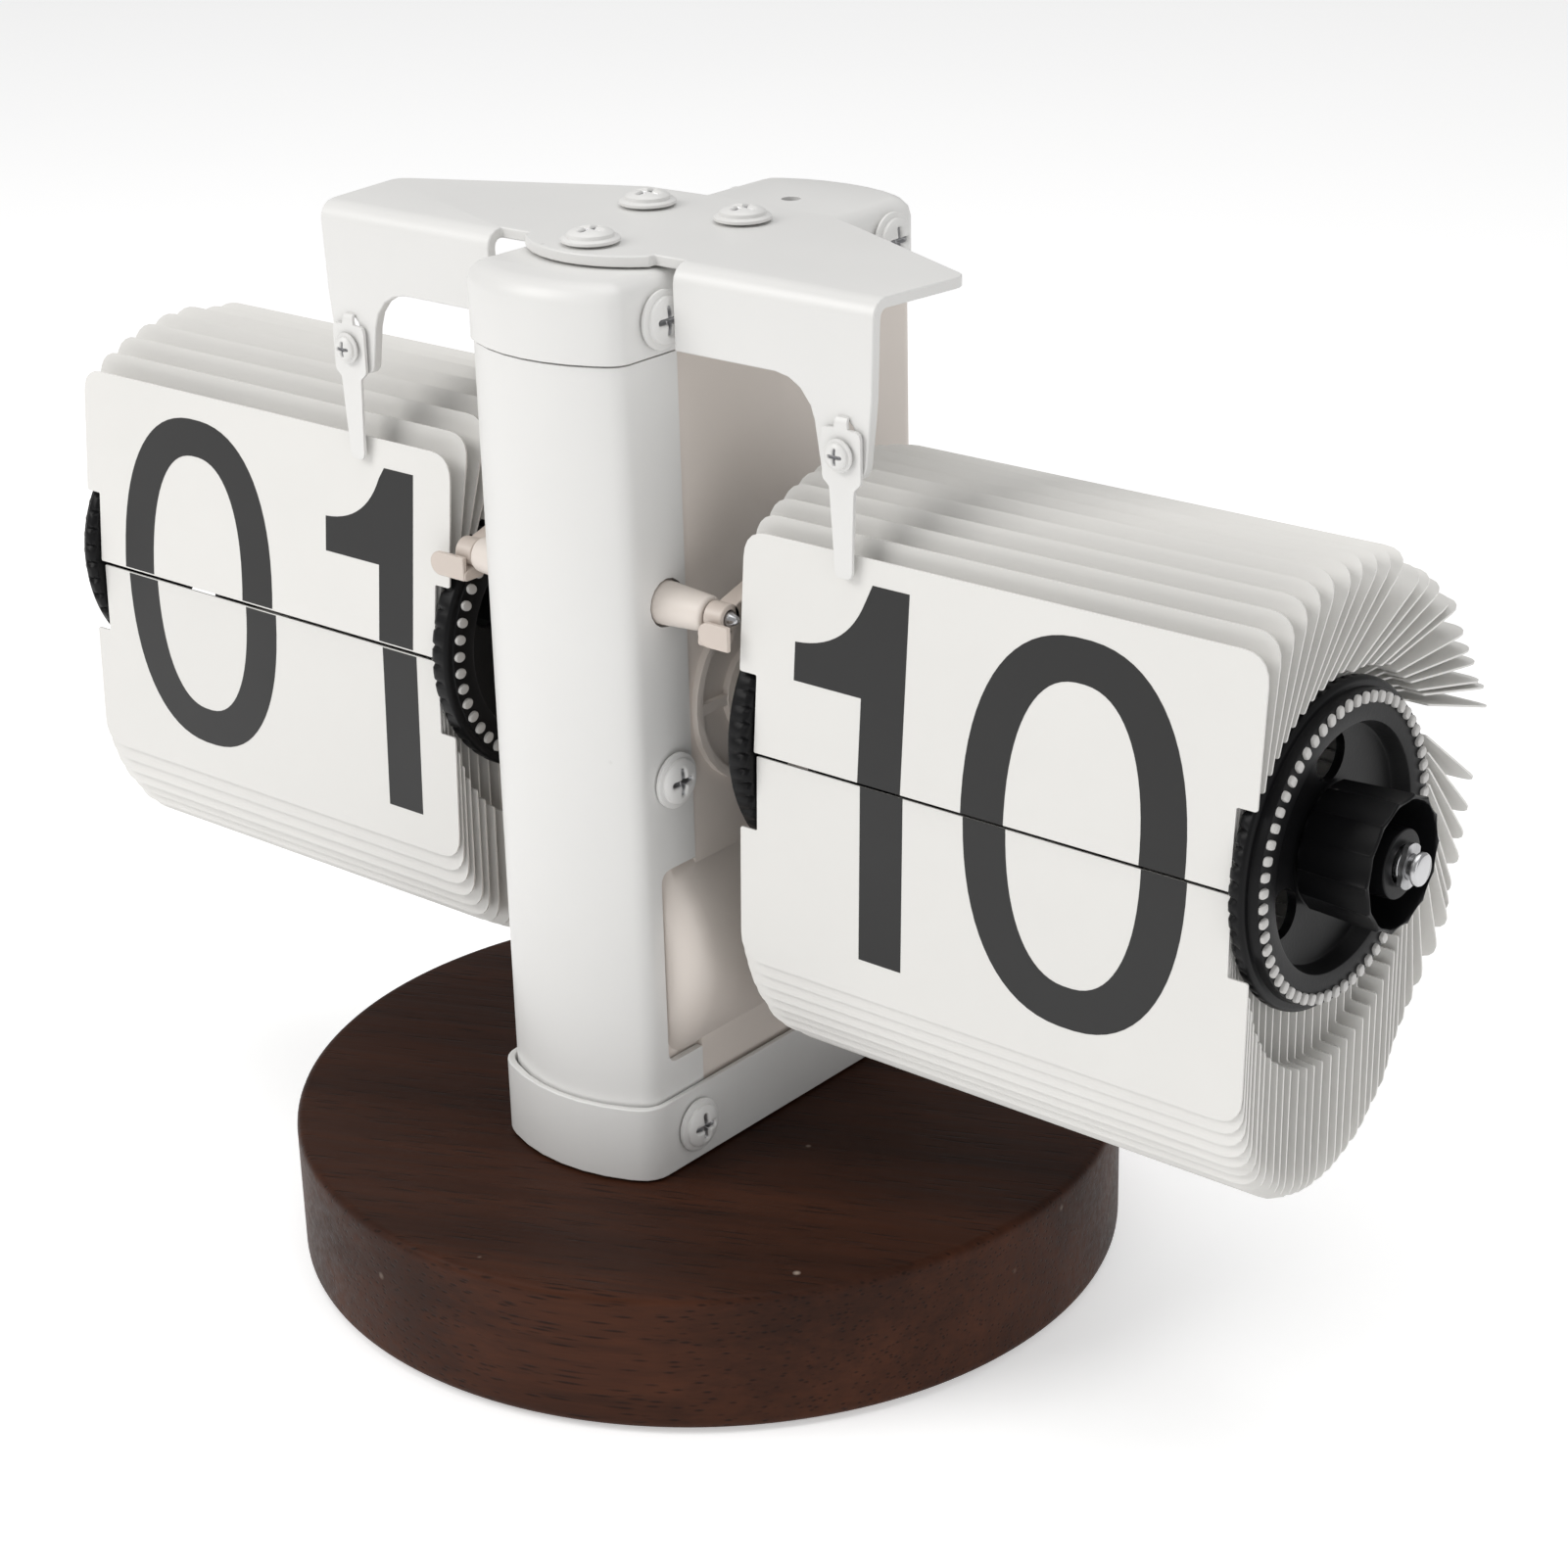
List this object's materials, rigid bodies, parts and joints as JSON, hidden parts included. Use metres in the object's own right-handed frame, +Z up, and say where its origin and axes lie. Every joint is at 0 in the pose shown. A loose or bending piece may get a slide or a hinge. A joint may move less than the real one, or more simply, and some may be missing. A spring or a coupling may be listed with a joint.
{
  "type": "flip clock",
  "caption": "Desk flip clock with drums of hinged number cards on each side of a slim white column that stands on a round wooden base.",
  "frame": {"origin": "centre of the round base at the surface it stands on", "axes": "+Z up, -Y the side the cards face, +X towards the minute drum and its setting knob"},
  "size_m": [0.2161, 0.1152, 0.145],
  "materials": {
    "walnut": "oiled dark walnut, fine straight grain",
    "felt": "black felt",
    "white_paint": "satin white powder coat",
    "white_plastic": "moulded off-white plastic",
    "black_plastic": "semi-gloss black moulding",
    "card_stock": "thin matte white plastic cards with dark numerals",
    "steel": "plain steel",
    "nylon": "natural nylon",
    "battery_jacket": "printed steel jacket, plain",
    "catch_plastic": "tan-grey moulding"
  },
  "bodies": {
    "frame": {"base": "walnut", "base_bolt": "steel", "base_pad": "felt", "boot_collar": "white_paint", "boot_screw_left": "white_paint", "boot_screw_right": "white_paint", "bracket_screw_front": "white_paint", "bracket_screw_left": "white_paint", "bracket_screw_right": "white_paint", "cap_screw_left": "white_paint", "cap_screw_right": "white_paint", "catch_pin_left": "steel", "catch_pin_right": "steel", "catch_post_left": "white_plastic", "catch_post_right": "white_plastic", "contact_spring": "steel", "front_shell": "white_paint", "gear_plate": "steel", "hour_bush": "nylon", "hour_cards_fallen": "card_stock", "hour_cards_waiting": "card_stock", "minute_bush": "nylon", "minute_cards_fallen": "card_stock", "minute_cards_waiting": "card_stock", "movement_case": "black_plastic", "rear_housing": "white_plastic", "rear_screw_left": "white_paint", "rear_screw_right": "white_paint", "shell_screw_left": "white_paint", "shell_screw_right": "white_paint", "top_bracket": "white_paint", "top_cap": "white_paint"},
    "minute_drum": {"minute_axle": "steel", "minute_gear": "nylon", "minute_inner_wheel": "black_plastic", "minute_outer_wheel": "black_plastic", "minute_drum_tube": "black_plastic", "setting_knob": "black_plastic", "minute_clip": "steel"},
    "hour_drum": {"hour_axle": "steel", "hour_gear": "nylon", "hour_inner_wheel": "black_plastic", "hour_outer_wheel": "black_plastic", "hour_drum_tube": "black_plastic", "hour_clip": "steel"},
    "idler": {"idler_gear": "nylon"},
    "motor_shaft": {"motor_pinion": "nylon"},
    "minute_card": {"minute_upper_card": "card_stock"},
    "hour_card": {"hour_upper_card": "card_stock"},
    "right_reed": {"reed_right": "white_paint", "reed_screw_right": "white_paint"},
    "left_reed": {"reed_left": "white_paint", "reed_screw_left": "white_paint"},
    "right_catch": {"card_catch_right": "catch_plastic"},
    "left_catch": {"card_catch_left": "catch_plastic"},
    "battery_door": {"battery_cover": "white_plastic", "contact_plate": "steel"},
    "cell": {"battery": "battery_jacket"}
  },
  "joints": [
    {"name": "minute_drum_turn", "type": "hinge", "parent": "frame", "child": "minute_drum", "pos_m": [0, -0.0021, 0.0832], "axis": [1, 0, 0], "continuous": true},
    {"name": "hour_drum_turn", "type": "hinge", "parent": "frame", "child": "hour_drum", "pos_m": [0, -0.0021, 0.0832], "axis": [1, 0, 0], "continuous": true},
    {"name": "idler_turn", "type": "hinge", "parent": "frame", "child": "idler", "pos_m": [0, 0.00883, 0.09622], "axis": [1, 0, 0], "continuous": true},
    {"name": "motor_turn", "type": "hinge", "parent": "frame", "child": "motor_shaft", "pos_m": [0, 0.01529, 0.07854], "axis": [1, 0, 0], "continuous": true},
    {"name": "minute_card_flip", "type": "hinge", "parent": "frame", "child": "minute_card", "pos_m": [0, -0.02057, 0.08414], "axis": [1, 0, 0], "range_deg": [0, 183]},
    {"name": "hour_card_flip", "type": "hinge", "parent": "frame", "child": "hour_card", "pos_m": [0, -0.02056, 0.08437], "axis": [1, 0, 0], "range_deg": [0, 183]},
    {"name": "right_reed_adjust", "type": "slide", "parent": "frame", "child": "right_reed", "axis": [0, 0, 1], "range_m": [0, 0.0024]},
    {"name": "left_reed_adjust", "type": "slide", "parent": "frame", "child": "left_reed", "axis": [0, 0, 1], "range_m": [0, 0.0024]},
    {"name": "right_catch_swing", "type": "hinge", "parent": "frame", "child": "right_catch", "pos_m": [0, -0.0187, 0.0994], "axis": [1, 0, 0], "range_deg": [-30, 4], "stiffness_Nm_per_rad": 0.0002},
    {"name": "left_catch_swing", "type": "hinge", "parent": "frame", "child": "left_catch", "pos_m": [0, -0.0187, 0.0994], "axis": [1, 0, 0], "range_deg": [-30, 4], "stiffness_Nm_per_rad": 0.0002},
    {"name": "battery_door_pull", "type": "slide", "parent": "frame", "child": "battery_door", "axis": [0, 1, 0], "range_m": [0, 0.09]},
    {"name": "battery_pull", "type": "slide", "parent": "frame", "child": "cell", "axis": [0, 1, 0], "range_m": [0, 0.0675]}
  ],
  "couplings": [
    {"joint": "hour_drum_turn", "follows": "minute_drum_turn", "ratio": 0.020833},
    {"joint": "idler_turn", "follows": "minute_drum_turn", "ratio": -0.16667},
    {"joint": "motor_turn", "follows": "minute_drum_turn", "ratio": -4},
    {"joint": "battery_pull", "follows": "battery_door_pull", "ratio": 0.75}
  ]
}
